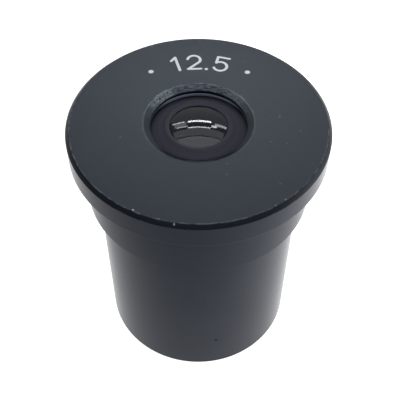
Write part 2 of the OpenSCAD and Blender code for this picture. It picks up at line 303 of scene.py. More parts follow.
def head_anodised(name, colours, head):
    """Black anodised aluminium: cut, worn chamfer, dust specks, chatter and painted light in the mouth."""
    finish = TurnedFinish(name)
    base, lines, grain = satin(finish, colours.head_dark, colours.head_light)
    cut = chamfer_cut(finish, head.chamfer / MM)
    base = finish.blend(cut, base, rgba(colours.fresh_cut))
    dust = finish.noise(finish.at, scale=1.9, detail=0.0).rise(0.835, 0.865)
    base = finish.blend(dust * 0.3, base, rgba(colours.worn_edge))
    base = worn_edges(finish, base, head.chamfer / MM, rgba(colours.worn_edge))
    base = finish.blend(edge_chips(finish), base, rgba(colours.bare_metal))
    base, chatter = mouth_chatter_and_painted_light(finish, base, head, colours)
    base = finish.blend(bore_painted_light_mask(finish, head), base, rgba(colours.bore_painted_light))
    roughness = satin_roughness(HEAD_ROUGHNESS, lines, grain) + cut * 0.10
    finish.surface(
        base_color=base, roughness=roughness, specular_ior_level=HEAD_SHEEN, specular_tint=HEAD_TINT)
    finish.bump(lines * 0.6 + grain * 0.4 + chatter * 3.0, SATIN_DEPTH)
    return finish.material


def chamfer_cut(finish, chamfer):
    """The head's chamfer, a fresh and smooth cut that is darker than the satin faces."""
    inner, low = HEAD_REACH / MM - chamfer, HEAD_TOP / MM - chamfer
    return finish.radius.rise(inner - 0.03, inner + 0.01) * finish.height.rise(low - 0.02, low + 0.02)


def worn_edges(finish, base, chamfer, worn):
    """The chamfer's two edges are worn to a broken light line."""
    reach, top = HEAD_REACH / MM, HEAD_TOP / MM
    along = finish.vector(finish.turn * 90.0, finish.height * 2.0, finish.radius * 2.0)
    wear = finish.noise(along, detail=3.0, roughness=0.65)
    upper = finish.radius.band(reach - chamfer - 0.05, half=0.05, soft=0.05)
    upper = upper * finish.height.rise(top - 0.06, top - 0.03)
    lower = finish.height.band(top - chamfer - 0.02, half=0.04, soft=0.04)
    lower = lower * finish.radius.rise(reach - 0.08, reach - 0.04)
    base = finish.blend(upper * wear.rise(0.42, 0.62) * 0.5, base, worn)
    return finish.blend(lower * wear.rise(0.5, 0.7) * 0.35, base, worn)


def edge_chips(finish):
    """A few bright chips in the head's upper edge, with torn outlines."""
    chips = 0.0
    torn = finish.noise(finish.at, scale=6.0).swing(0.12)
    for turn, reached, width, brightness in EDGE_CHIPS:
        along, across = (finish.turn - turn) * (2 * math.pi * reached), finish.radius - reached
        away = (along * along + across * across) ** 0.5 + torn
        chips = chips + away.rise(width, width * 0.5) * brightness
    return chips


def lip_foot(head):
    """Height of the lower edge of the eye hole's lip."""
    return HEAD_TOP - head.mouth_depth - head.lip_land


def flanks(finish):
    """What lies well to the left or right of the axis."""
    return (finish.x * finish.x).rise(FLANK_BEGINS, FLANK_FULL)


def mouth_chatter_and_painted_light(finish, base, head, colours):
    """Tool chatter, painted highlights and painted light on the mouth's cone. Returns base colour and bump.
    """
    mouth, foot = head.mouth / MM / 2, lip_foot(head) / MM
    lip_top = (HEAD_TOP - head.mouth_depth) / MM

    # The cone's outer edge is ragged
    ragged = finish.radius + finish.noise(finish.vector(finish.turn * 40.0, finish.radius, 0.0)).swing(0.5)
    cone = ragged.rise(mouth + 0.22, mouth + 0.08) * finish.height.rise(foot - 0.04, foot)

    # Two patches of it carry painted highlights, broken into crumbs of light
    crumbs = finish.noise(finish.at, scale=4.5, roughness=0.6).rise(0.40, 0.56)
    patches = 0.0
    for turn, half, soft, brightness in CONE_HIGHLIGHTS:
        patches = patches + finish.turn.band(turn, half, soft) * brightness
    base = finish.blend(cone * (patches * crumbs), base, rgba(colours.cone_highlights))

    # The tool's dashes all round, over an even line on the lip, lit by painted light on the far side
    dashes = finish.noise(finish.vector(finish.turn * 42.0, finish.radius * 9.0, 0.0), detail=1.5)
    lip = finish.height.rise(lip_top + 0.03, lip_top - 0.01)
    marks = lip.math("MAXIMUM", dashes.rise(0.44, 0.55), lip * 0.5)
    # Painted light, strongest on the far side
    far = finish.y.rise(-1.0, 4.5)
    base = finish.blend(cone * (0.10 + marks * 0.75) * far, base, rgba(colours.chatter))

    # The flanks get an even wash of painted light
    base = finish.blend(cone * flanks(finish) * 0.27, base, rgba(colours.chatter))
    return base, cone * dashes


def bore_painted_light_mask(finish, head):
    """Painted light on the wall under the groove, brightest on its band; both fade at the flanks."""
    height, top, lip = finish.height, HEAD_TOP / MM, head.lip / MM / 2
    wall = (lip_foot(head) - head.groove) / MM
    band_foot = wall - head.band / MM
    inside = height.rise(wall + 0.04, wall) * height.rise(top - 2.0, top - 1.9)
    inside = inside * finish.radius.rise(lip + 0.3, lip + 0.2)
    band = height.rise(band_foot - 0.02, band_foot + 0.02)
    return inside * (0.25 + band * 0.75) * (1 - flanks(finish) * 0.8)


def matt_black(name, colours):
    """Matt black lacquer over turned lines, with a faint purple cast."""
    finish = TurnedFinish(name)
    lines = finish.tool_lines(per_mm=6.0, per_turn=2.0)
    grain = finish.noise(finish.at, scale=18.0, roughness=0.6)
    rings = finish.noise(finish.vector(finish.radius * 1.7, 0.0, 0.0))
    tone = lines.swing(0.6) + grain.swing(0.4) + rings.swing(1.2) + 0.5
    base = finish.blend(tone, rgba(colours.matt_dark), rgba(colours.matt_light))
    finish.surface(base_color=base, roughness=0.6 + grain.swing(0.2), specular_ior_level=0.05)
    finish.bump(lines * 0.5 + grain * 0.5, depth=0.003)
    return finish.material


def engraving_paint(name, colours):
    """White paint, uneven on its face."""
    finish = Finish(name)
    grain = finish.noise(finish.place(), scale=9.0, detail=3.0, roughness=0.6)
    base = finish.blend(grain, rgba(colours.paint_shade), rgba(colours.paint))
    finish.surface(base_color=base, roughness=0.62)
    finish.bump(grain, depth=0.012)
    return finish.material


def lens_glass(name, ior, colour, clearness=1.0):
    """Polished glass, whose colour is what is left of the light; what isn't clear is a faint haze."""
    finish = Finish(name)
    finish.surface(base_color=colour, roughness=0.0, ior=ior, transmission_weight=clearness)
    return finish.material


def ground_glass(name):
    """The blackened, ground edge of a lens."""
    finish = Finish(name)
    grain = finish.noise(finish.place(), scale=22.0, roughness=0.6)
    base = finish.blend(grain, GROUND_DARK, GROUND_LIGHT)
    finish.surface(base_color=base, roughness=0.75, specular_ior_level=0.2)
    finish.bump(grain, depth=0.004)
    return finish.material


# Modelling tools


def only(piece):
    """Makes a piece the one that the next operators work on."""
    bpy.ops.object.select_all(action="DESELECT")
    piece.select_set(True)
    bpy.context.view_layer.objects.active = piece


def apply_modifier(piece, kind, **settings):
    only(piece)
    bpy.ops.object.modifier_add(type=kind)
    modifier = piece.modifiers[-1]
    for name, value in settings.items():
        setattr(modifier, name, value)
    bpy.ops.object.modifier_apply(modifier=modifier.name)


def select_places(piece, chosen):
    """In edit mode, selects the vertices whose place, in the object's frame, passes the test."""
    bpy.ops.mesh.select_mode(type="VERT")
    bpy.ops.mesh.select_all(action="DESELECT")
    bpy.ops.object.mode_set(mode="OBJECT")
    for vertex in piece.data.vertices:
        vertex.select = chosen(piece.matrix_world @ vertex.co)
    bpy.ops.object.mode_set(mode="EDIT")


def next_ring(radius, height, new_radius, new_height):
    """Extrudes the selected ring to another radius and height."""
    bpy.ops.mesh.extrude_region_move(TRANSFORM_OT_translate={"value": (0, 0, new_height - height)})
    share = new_radius / radius
    bpy.ops.transform.resize(value=(share, share, 1), center_override=(0, 0, new_height))


def turned(name, outline, steps=STEPS):
    """Turns an outline of (radius, height) points, ring by ring.

    An outline that starts and ends on the axis makes a solid, and any other closes on itself.
    """
    points = list(outline)
    solid = points[0][0] == 0
    rings = points[1:-1] if solid else points
    bpy.ops.object.select_all(action="DESELECT")
    bpy.ops.mesh.primitive_circle_add(vertices=steps, radius=rings[0][0], location=(0, 0, rings[0][1]))
    piece = bpy.context.object
    piece.name = name
    bpy.ops.object.mode_set(mode="EDIT")
    for here, there in zip(rings, rings[1:] + [points[-1] if solid else points[0]]):
        next_ring(*here, *there)
    if solid:
        first_radius, first_height = rings[0]
        select_places(
            piece, lambda at: abs(at.z - first_height) < SAME and abs(at.xy.length - first_radius) < SAME)
        next_ring(*rings[0], *points[0])
    bpy.ops.mesh.select_all(action="SELECT")
    bpy.ops.mesh.remove_doubles(threshold=SAME)
    bpy.ops.mesh.normals_make_consistent(inside=False)
    bpy.ops.object.mode_set(mode="OBJECT")
    bpy.ops.object.transform_apply(location=True, rotation=True, scale=True)
    return piece


def break_edges(piece, width=BROKEN_EDGE, segments=3, least_angle=25):
    """Rounds every edge that is sharper than least_angle degrees."""
    apply_modifier(
        piece, "BEVEL", width=width, segments=segments, limit_method="ANGLE",
        angle_limit=math.radians(least_angle), use_clamp_overlap=True)


def combine(piece, other, operation):
    """Joins, cuts or overlaps another mesh with a piece, and uses the other up."""
    apply_modifier(piece, "BOOLEAN", operation=operation, object=other, solver="EXACT")
    bpy.data.objects.remove(other)


def thread_ridge(wall, crest, start, turns, thread):
    """A helical ridge on a wall of radius wall, out or in to radius crest; it fades away at both ends."""
    root = wall + (thread.rooting if crest < wall else -thread.rooting)
    centre = ((root + crest) / 2, 0, start)
    bpy.ops.object.select_all(action="DESELECT")
    bpy.ops.mesh.primitive_plane_add(size=1, location=centre, rotation=(math.pi / 2, 0, 0))
    ridge = bpy.context.object
    bpy.ops.object.mode_set(mode="EDIT")
    bpy.ops.transform.resize(value=(abs(crest - root), 1, thread.root_width), center_override=centre)
    select_places(ridge, lambda at: abs(at.x - crest) < SAME)
    bpy.ops.transform.resize(value=(1, 1, thread.crest_width / thread.root_width), center_override=centre)
    bpy.ops.mesh.select_all(action="SELECT")
    bpy.ops.mesh.delete(type="ONLY_FACE")
    bpy.ops.object.mode_set(mode="OBJECT")
    bpy.ops.object.transform_apply(location=True, rotation=True, scale=True)
    apply_modifier(
        ridge, "SCREW", axis="Z", angle=2 * math.pi, screw_offset=thread.pitch, iterations=turns,
        steps=THREAD_STEPS, render_steps=THREAD_STEPS, use_merge_vertices=False)
    bpy.ops.object.mode_set(mode="EDIT")
    bpy.ops.mesh.select_all(action="SELECT")
    bpy.ops.mesh.fill_holes(sides=4)
    bpy.ops.mesh.normals_make_consistent(inside=False)

    def turn_of(at):
        """How many turns along the ridge a vertex lies."""
        by_height = (at.z - start) / thread.pitch
        by_angle = math.atan2(at.y, at.x) / (2 * math.pi)
        return by_angle + round(by_height - by_angle)

    fade, near = THREAD_STEPS // 4, 0.3 / THREAD_STEPS
    for step in range(fade):
        radius = root + (crest - root) * (step + 1) / (fade + 1)
        for turn in (step / THREAD_STEPS, turns - step / THREAD_STEPS):
            select_places(
                ridge, lambda at: abs(turn_of(at) - turn) < near and abs(at.xy.length - crest) < SAME)
            bpy.ops.transform.resize(value=(radius / crest, radius / crest, 1), center_override=(0, 0, 0))
    bpy.ops.object.mode_set(mode="OBJECT")
    return ridge


def spanner_slots(piece, reach, low, rings):
    """Cuts two slots across the underside of a ring that reaches out to a radius."""
    overreach = 1.2
    centre = (0, 0, low + rings.slot_depth - reach)
    bpy.ops.object.select_all(action="DESELECT")
    bpy.ops.mesh.primitive_cube_add(size=2 * reach, location=centre)
    cutter = bpy.context.object
    bpy.ops.object.mode_set(mode="EDIT")
    bpy.ops.transform.resize(value=(overreach, rings.slot_width / (2 * reach), 1), center_override=centre)
    bpy.ops.object.mode_set(mode="OBJECT")
    bpy.ops.object.transform_apply(location=True, rotation=True, scale=True)
    combine(piece, cutter, "DIFFERENCE")


def complete(piece, body, slot, *nodes):
    """Smooths a piece, gives it its finish and lets it stand for its CAD nodes on their body."""
    only(piece)
    bpy.ops.mesh.customdata_custom_splitnormals_clear()
    bpy.ops.object.shade_smooth_by_angle(angle=SMOOTH_ANGLE)
    apply_modifier(piece, "WEIGHTED_NORMAL", mode="FACE_AREA", weight=60, keep_sharp=True)
    piece.data.materials.clear()
    piece.data.materials.append(bpy.data.materials[slot + "_finish"])
    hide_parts(*nodes)
    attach(piece, body)


def second_finish(piece, finish, chosen):
    """Gives the chosen faces of a piece another finish."""
    piece.data.materials.append(bpy.data.materials[finish])
    for face in piece.data.polygons:
        if chosen(face):
            face.material_index = len(piece.data.materials) - 1


def arc(radius, centre, from_reach, to_reach, steps, side):
    """Points of a dome's outline between two distances from the axis; side is 1 on top and -1 underneath."""
    start, end = (math.asin(reach / radius) for reach in (from_reach, to_reach))
    angles = [start + (end - start) * step / steps for step in range(steps + 1)]
    return [(radius * math.sin(angle), centre + side * radius * math.cos(angle)) for angle in angles]


# Sizes and colours


def size(name, description, millimetres):
    return bpy.props.FloatProperty(
        name=name, description=description, unit="LENGTH", default=millimetres * MM, min=0, precision=5)


def count(name, description, default):
    return bpy.props.IntProperty(name=name, description=description, default=default, min=1)


def shade(name, description, *default):
    return bpy.props.FloatVectorProperty(
        name=name, description=description, subtype="COLOR", default=default, min=0, max=1)


class HeadSizes(bpy.types.PropertyGroup):
    """Sizes of the disc head"""

    height: size("Height", "Height of the disc", 3.1)
    chamfer: size("Chamfer", "Chamfer on the top edge", 0.40)
    edge_break: size("Edge break", "Chamfer under the disc and under the collar", 0.12)
    mouth: size("Mouth", "Diameter of the eye hole's mouth", 11.8)
    mouth_depth: size("Mouth depth", "Depth of the conical mouth", 0.36)
    lip: size("Lip", "Diameter of the eye hole's lip", 10.5)
    lip_land: size("Lip land", "Height of the lip's land", 0.15)
    undercut: size("Undercut", "How far the wall behind the lip goes back", 0.12)
    groove: size("Groove", "Width of the groove under the lip", 0.40)
    band: size("Band", "Width of the raised band under the groove", 0.29)
    band_step: size("Band step", "How far the band stays behind the lip", 0.04)
    spigot_radius: size("Spigot radius", "Radius of the threaded spigot at its root", 10.6)
    spigot_length: size("Spigot length", "Length of the threaded spigot", 4.2)
    bore_radius: size("Bore radius", "Radius of the bore that takes the inner cell", 9.05)
    thread_start: size("Thread start", "Height at which the spigot's thread starts", 25.525)
    thread_turns: count("Thread turns", "Turns of the spigot's thread", 4)


class TubeSizes(bpy.types.PropertyGroup):
    """Sizes of the push-in tube and its collar"""

    radius: size("Radius", "Outside radius of the push-in tube", 11.6)
    bore_radius: size("Bore radius", "Radius of the plain bore", 10.3)
    edge: size("Edge", "Chamfer on the open end", 0.2)
    shoulder: size("Shoulder", "Height of the collar's shoulder", 22.7)
    collar_bore_radius: size("Collar bore radius", "Radius of the collar's bore", 11.1)
    collar_floor: size("Collar floor", "Height of the collar's floor", 24.4)
    stop_bore_radius: size("Stop bore radius", "Radius of the bore that takes the field stop's cell", 10.5)
    stop_floor: size("Stop floor", "Height at which that bore starts", 9.835)
    head_thread_start: size("Head thread start", "Height at which the head's inner thread starts", 25.15)
    head_thread_turns: count("Head thread turns", "Turns of the head's inner thread", 5)
    stop_thread_start: size("Stop thread start", "Height at which the stop's inner thread starts", 10.21)
    stop_thread_turns: count("Stop thread turns", "Turns of the stop's inner thread", 8)


class ThreadSizes(bpy.types.PropertyGroup):
    """Sizes of the thread ridges"""

    pitch: size("Pitch", "Rise in one turn", 0.75)
    ridge_height: size("Ridge height", "How far a ridge stands out", 0.4)
    root_width: size("Root width", "Width of a ridge at its root", 0.4)
    crest_width: size("Crest width", "Width of a ridge at its crest", 0.12)
    rooting: size("Rooting", "How deep a ridge is rooted in its wall", 0.12)


class CellSizes(bpy.types.PropertyGroup):
    """Sizes of the inner cell, as drops from the top face and radii"""

    rim_drop: size("Rim drop", "Drop to the rim round the eye lens", 0.53)
    window_radius: size("Window radius", "Radius of the opening over the eye lens", 3.15)
    countersink: size("Countersink", "Width of the opening's sloping edge", 0.4)
    knee_drop: size("Knee drop", "Drop to the knee between the nose's two cones", 0.88)
    knee_radius: size("Knee radius", "Radius of the knee", 4.1)
    nose_drop: size("Nose drop", "Drop to the nose's lower edge", 1.5)
    nose_radius: size("Nose radius", "Radius of the nose", 5.45)
    flange_drop: size("Flange drop", "Drop to the flange", 2.4)
    flange_radius: size("Flange radius", "Radius of the flange", 9.0)
    flange_height: size("Flange height", "Height of the flange", 1.5)
    barrel_radius: size("Barrel radius", "Outside radius of the barrel", 7.6)
    barrel_foot: size("Barrel foot", "Height of the barrel's lower end", 17.1506)
    lens_bore_radius: size("Lens bore radius", "Radius of the bore for the large lenses", 6.45)
    eye_bore_radius: size("Eye bore radius", "Radius of the bore for the eye lens", 4.45)
    ring_bore_radius: size("Ring bore radius", "Radius of the bore for the retaining ring", 6.95)
    shoulder_air: size("Shoulder air", "Air between the middle lens and the cell's shoulder", 0.3)


class LensSizes(bpy.types.PropertyGroup):
    """Sizes of the lens stack: radii of the glasses and of their faces, and drops from the top face"""

    eye_radius: size("Eye lens radius", "Radius of the eye lens", 4.4)
    eye_drop: size("Eye lens drop", "Drop to the eye lens", 0.24)
    eye_dome: size("Eye lens dome", "Radius of the eye lens's domed face", 10.0)
    eye_thickness: size("Eye lens thickness", "Thickness of the eye lens", 2.4)
    upper_space: size("Upper space", "Air between the eye lens and the middle lens", 1.8)
    field_radius: size("Field lens radius", "Radius of the middle lens and of the doublet", 6.4)
    middle_dome: size("Middle lens dome", "Radius of the middle lens's domed face", 60.0)
    middle_thickness: size("Middle lens thickness", "Thickness of the middle lens", 3.0)
    lower_space: size("Lower space", "Air between the middle lens and the doublet", 0.5)
    crown_dome: size("Crown dome", "Radius of the crown's upper face", 20.0)
    crown_thickness: size("Crown thickness", "Thickness of the crown", 4.6)
    cement_dome: size("Cement dome", "Radius of the cemented face", 12.0)
    cement: size("Cement", "Thickness of the cement", 0.01)
    flint_dome: size("Flint dome", "Radius of the flint's lower face", 30.0)
    flint_thickness: size("Flint thickness", "Thickness of the flint", 1.6)
    flint_land: size("Flint land", "How far the flint's rim stays below the crown's", 0.1)
    spacer_wall: size("Spacer wall", "Wall of the spacers", 0.7)
    seat_gap: size("Seat gap", "Air between a lens and the ring that it seats on", 0.03)
    ground_edge: size("Ground edge", "Width of the ground facet round a lens", 0.08)


class RingSizes(bpy.types.PropertyGroup):
    """Sizes of the slotted rings"""

    lock_height: size("Lock ring height", "Height of the ring that locks the cell in the head", 1.5)
    lock_clearance: size("Lock ring clearance", "Air between the lock ring and the barrel", 0.15)
    retainer_height: size("Retainer height", "Height of the ring under the lens stack", 1.8)
    slot_width: size("Slot width", "Width of the spanner slots", 1.0)
    slot_depth: size("Slot depth", "Depth of the spanner slots", 0.7)
    fit: size("Fit", "Air round a turned piece in its bore", 0.05)


class StopSizes(bpy.types.PropertyGroup):
    """Sizes of the field stop and its cell"""

    cell_radius: size("Cell radius", "Radius of the cell at the thread's root", 10.0)
    cell_foot: size("Cell foot", "Height of the cell's lower end", 11.57)
    cell_top: size("Cell top", "Height of the cell's upper end", 15.6)
    seat: size("Seat", "Height of the seat over the field stop", 13.9)
    seat_radius: size("Seat radius", "Radius of the cell's seat", 9.0)
    ledge_radius: size("Ledge radius", "Radius inside the cell's ledge", 7.65)
    thread_start: size("Thread start", "Height at which the cell's thread starts", 12.085)
    thread_turns: count("Thread turns", "Turns of the cell's thread", 4)
    hole_radius: size("Hole radius", "Radius of the field stop's hole", 5.5)
    thickness: size("Thickness", "Thickness of the field stop", 0.3)
    gap: size("Gap", "Air over and under the field stop", 0.03)
    ring_height: size("Ring height", "Height of the ring under the field stop", 1.4)


class EyepieceColours(bpy.types.PropertyGroup):
    """Colours of the finishes, and of the painted light on them"""

    tube_dark: shade("Tube, dark", "Darker tone of the tube's black anodise", 0.026, 0.030, 0.038)
    tube_light: shade("Tube, light", "Lighter tone of the tube's black anodise", 0.038, 0.043, 0.055)
    head_dark: shade("Head, dark", "Darker tone of the head's black anodise", 0.0022, 0.0028, 0.0040)
    head_light: shade("Head, light", "Lighter tone of the head's black anodise", 0.0042, 0.0052, 0.0070)
    fresh_cut: shade("Fresh cut", "Black of the cut chamfer", 0.002, 0.0025, 0.0045)
    worn_edge: shade("Worn edge", "Colour of the worn edges", 0.12, 0.125, 0.13)
    bare_metal: shade("Bare metal", "Colour of the chips in the edge", 0.75, 0.75, 0.74)
    # The chatter's colour is also painted light: on the far side, on the lip and on the flanks
    chatter: shade("Chatter", "Colour of the tool chatter round the eye hole", 0.095, 0.113, 0.122)
    # Painted highlights on two patches of the mouth's cone
    cone_highlights: shade("Tool marks", "Colour of the two rubbed patches on the mouth's cone", 0.26, 0.28, 0.28)
    # Painted light on the wall under the lip, brightest on its band
    bore_painted_light: shade("Bore band", "Colour of the light band under the lip", 0.22, 0.25, 0.31)
    matt_dark: shade("Matt black, dark", "Darker tone of the matt black inside", 0.030, 0.029, 0.038)
    matt_light: shade("Matt black, light", "Lighter tone of the matt black inside", 0.066, 0.063, 0.078)
    paint: shade("Paint", "White paint in the engraved marks", 0.86, 0.86, 0.83)
    paint_shade: shade("Paint, shaded", "Duller tone of the paint", 0.66, 0.66, 0.64)


class EyepieceStage(bpy.types.PropertyGroup):
    """Floor, light and camera"""

    floor_size: bpy.props.FloatProperty(
        name="Floor size", description="Side of the square floor", unit="LENGTH", default=1.2, min=0.1)
    floor_colour: shade("Floor colour", "Colour of the pale floor", 0.3, 0.3, 0.3)
    floor_glow: bpy.props.FloatProperty(
        name="Floor glow", description="How strongly the light table glows", default=0.55, min=0)
    camera_lens: bpy.props.FloatProperty(
        name="Lens", description="Focal length on the sensor", unit="CAMERA", default=67.504, min=10)
    camera_sensor: bpy.props.FloatProperty(
        name="Sensor", description="Width of the sensor", unit="CAMERA", default=36, min=1)
    camera_elevation: bpy.props.FloatProperty(
        name="Elevation", description="How steeply the camera looks down", subtype="ANGLE", default=0.883463)
    camera_roll: bpy.props.FloatProperty(
        name="Roll", description="Turn of the camera about its own axis", subtype="ANGLE", default=0.005875)
    camera_place: bpy.props.FloatVectorProperty(
        name="Camera place", description="Where the camera stands", subtype="TRANSLATION", unit="LENGTH",
        default=(0.000178, -0.057238, 0.089003))


# The floor's glow grows to the right, and by a share of that to the rear, between these places in millimetres
GLOW_RIGHT = (-16, 60)
GLOW_REAR = (-45, 5)
REAR_SHARE = 0.55
# The nearest and farthest that the camera sees, in metres
CLIP_START = 0.005
CLIP_END = 20


class EYEPIECE_OT_stage(bpy.types.Operator):
    """Add the floor, the studio light and the camera"""

    bl_idname = "eyepiece.stage"
    bl_label = "Stage"

    def execute(self, context):
        stage = context.scene.eyepiece_stage
        add_floor(stage)
        add_lights(context.scene)
        add_camera(stage, context.scene)
        return {"FINISHED"}


def add_floor(stage):
    """The light table that the eyepiece stands on."""
    bpy.ops.object.select_all(action="DESELECT")
    bpy.ops.mesh.primitive_plane_add(size=stage.floor_size, location=(0, 0, -FLOOR_GAP))
    floor = bpy.context.object
    floor.name = "floor"
    finish = Finish("pale_floor")
    x, y, _ = finish.split(finish.place())
    glow = x.rise(*GLOW_RIGHT) + y.rise(*GLOW_REAR) * REAR_SHARE + stage.floor_glow
    finish.surface(
        base_color=rgba(stage.floor_colour), roughness=0.9, specular_ior_level=0.1,
        emission_color=finish.vector(glow, glow, glow), emission_strength=1.0)
    floor.data.materials.append(finish.material)


def add_camera(stage, scene):
    bpy.ops.object.camera_add(location=stage.camera_place)
    camera = bpy.context.object
    camera.name = "camera"
    camera.data.lens, camera.data.sensor_width = stage.camera_lens, stage.camera_sensor
    camera.data.clip_start, camera.data.clip_end = CLIP_START, CLIP_END
    camera.rotation_mode = "QUATERNION"
    tilt = Euler((math.pi / 2 - stage.camera_elevation, 0, 0)).to_quaternion()
    camera.rotation_quaternion = tilt @ Quaternion((0, 0, 1), stage.camera_roll)
    scene.camera = camera


# Soft boxes: name, azimuth and elevation of the middle as seen from the top face, in degrees (azimuth 90 is
# +Y, behind the eyepiece), distance, width and height in metres, radiance, roll in degrees
SOFT_BOXES = (
    ("ceiling_box", 270, 82, 0.50, 0.60, 0.60, 1.45, 0),
    ("lower_strip", 89.3, 41, 0.40, 0.155, 0.020, 18.0, 0),
    ("upper_strip", 89.3, 52, 0.40, 0.160, 0.011, 13.0, 0),
    ("rear_ceiling_box", 90, 59.5, 0.50, 0.50, 0.105, 0.85, 0),
    ("rear_wash", 88, 28, 0.50, 0.50, 0.30, 0.25, 0),
    ("left_rear_box", 114, 41, 0.45, 0.09, 0.06, 1.6, -25),
    ("left_rear_low_strip", 114, 36.5, 0.45, 0.09, 0.014, 7.0, -25),
    ("left_rear_high_strip", 114, 46, 0.45, 0.09, 0.012, 7.0, -25),
    ("right_rear_box", 62, 40, 0.45, 0.09, 0.035, 5.0, 25),
    ("right_rear_glint", 68, 46, 0.45, 0.04, 0.03, 11.0, 20),
    ("right_low_box", 0, 12, 0.50, 0.30, 0.14, 5.0, 0),
)
SKY_STRENGTH = 0.2
COOL_LIGHT = (0.90, 0.94, 1.0, 1.0)


def add_lights(scene):
    """An even, faint sky and the soft boxes, which all face the middle of the top face."""
    world = bpy.data.worlds.new("studio")
    scene.world = world
    world.use_nodes = True
    sky = world.node_tree.nodes["Background"]
    sky.inputs["Color"].default_value = COOL_LIGHT
    sky.inputs["Strength"].default_value = SKY_STRENGTH
    for name, azimuth, elevation, distance, width, height, radiance, roll in SOFT_BOXES:
        heading, climb = math.radians(azimuth), math.radians(elevation)
        level = math.cos(climb)
        away = Vector((math.cos(heading) * level, math.sin(heading) * level, math.sin(climb)))
        bpy.ops.object.light_add(type="AREA", location=Vector((0, 0, HEAD_TOP)) + away * distance)
        light = bpy.context.object
        light.name = name
        light.data.shape = "RECTANGLE"
        light.data.color = COOL_LIGHT[:3]
        light.data.size, light.data.size_y = width, height
        light.data.energy = math.pi * width * height * radiance
        light.rotation_mode = "QUATERNION"
        light.rotation_quaternion = away.to_track_quat("Z", "Y") @ Quaternion((0, 0, 1), math.radians(roll))
    scene.view_settings.view_transform = "Standard"


class EYEPIECE_OT_finishes(bpy.types.Operator):
    """Make the finishes, and give the CAD parts theirs"""

    bl_idname = "eyepiece.finishes"
    bl_label = "Finishes"

    def execute(self, context):
        colours = context.scene.eyepiece_colours
        tube_anodised("tube_anodised_finish", colours)
        head_anodised("head_anodised_finish", colours, context.scene.eyepiece_head)
        engraving_paint("mark_paint_finish", colours)
        for name in ("barrel_black", "ring_black", "carrier_black", "stop_black"):
            matt_black(name + "_finish", colours)
        lens_glass("lens_glass_finish", COATED_IOR, CLEAR_GLASS)
        lens_glass("flint_glass_finish", COATED_IOR, CLEAR_GLASS)
        # The eye lens's outer face, tinted with painted shade
        lens_glass("outer_face_finish", GLASS_IOR, EYE_PAINTED_SHADE, EYE_CLEARNESS)
        ground_glass("ground_edge_finish")
        slots = {part["node"]: part["material_slot"] for part in frame["record"]["subparts"]}
        for name, node in frame["nodes"].items():
            for slot in node.material_slots:
                slot.material = bpy.data.materials[slots[name] + "_finish"]
        return {"FINISHED"}


class EYEPIECE_OT_tube(bpy.types.Operator):
    """Turn the push-in tube with its collar, and cut its two inner threads"""

    bl_idname = "eyepiece.tube"
    bl_label = "Push-in tube"

    def execute(self, context):
        scene = context.scene
        tube, head, thread = scene.eyepiece_tube, scene.eyepiece_head, scene.eyepiece_thread
        collar, rim = COLLAR_REACH, COLLAR_TOP
        piece = turned("push_in_tube", [
            (tube.bore_radius + tube.edge, 0), (tube.radius - tube.edge, 0), (tube.radius, tube.edge),
            (tube.radius, tube.shoulder), (collar - head.edge_break, tube.shoulder),
            (collar, tube.shoulder + head.edge_break), (collar, rim),
            (tube.collar_bore_radius, rim), (tube.collar_bore_radius, tube.collar_floor),
            (tube.stop_bore_radius, tube.collar_floor), (tube.stop_bore_radius, tube.stop_floor),
            (tube.bore_radius, tube.stop_floor), (tube.bore_radius, tube.edge)])
        break_edges(piece)
        for wall, start, turns in (
            (tube.collar_bore_radius, tube.head_thread_start, tube.head_thread_turns),
            (tube.stop_bore_radius, tube.stop_thread_start, tube.stop_thread_turns),
        ):
            combine(piece, thread_ridge(wall, wall - thread.ridge_height, start, turns, thread), "UNION")
        complete(piece, "tube", "tube_anodised", "body_tube")
        return {"FINISHED"}


class EYEPIECE_OT_head(bpy.types.Operator):
    """Turn the disc head, engrave it and cut its spigot's thread"""

    bl_idname = "eyepiece.head"
    bl_label = "Disc head"

    def execute(self, context):
        scene = context.scene
        head, cell, thread = scene.eyepiece_head, scene.eyepiece_cell, scene.eyepiece_thread
        rim, top = HEAD_REACH, HEAD_TOP
        under = top - head.height
        spigot, flange = under - head.spigot_length, top - cell.flange_drop
        lip, wall, step = head.lip / 2, head.lip / 2 + head.undercut, head.lip / 2 + head.band_step
        foot = lip_foot(head)
        groove, band = foot - head.groove, foot - head.groove - head.band
        piece = turned("disc_head", [
            (lip, top - head.mouth_depth), (head.mouth / 2, top), (rim - head.chamfer, top),
            (rim, top - head.chamfer), (rim, under + head.edge_break), (rim - head.edge_break, under),
            (head.spigot_radius, under), (head.spigot_radius, spigot), (head.bore_radius, spigot),
            (head.bore_radius, flange), (wall, flange), (wall, band), (step, band),
            (step, groove), (wall, groove), (wall, foot), (lip, foot)], steps=HEAD_STEPS)
        break_edges(piece)
        crest = head.spigot_radius + thread.ridge_height
        ridge = thread_ridge(head.spigot_radius, crest, head.thread_start, head.thread_turns, thread)
        combine(piece, ridge, "UNION")
        combine(piece, engraving_cutter(top), "DIFFERENCE")
        complete(piece, "head", "head_anodised", "eye_cap")
        side = (rim - BROKEN_EDGE) * math.cos(math.pi / HEAD_STEPS)
        second_finish(
            piece, "tube_anodised_finish",
            lambda face: face.center.xy.length > side and abs(face.normal.z) < HEAD_SIDE_NORMAL)
        return {"FINISHED"}


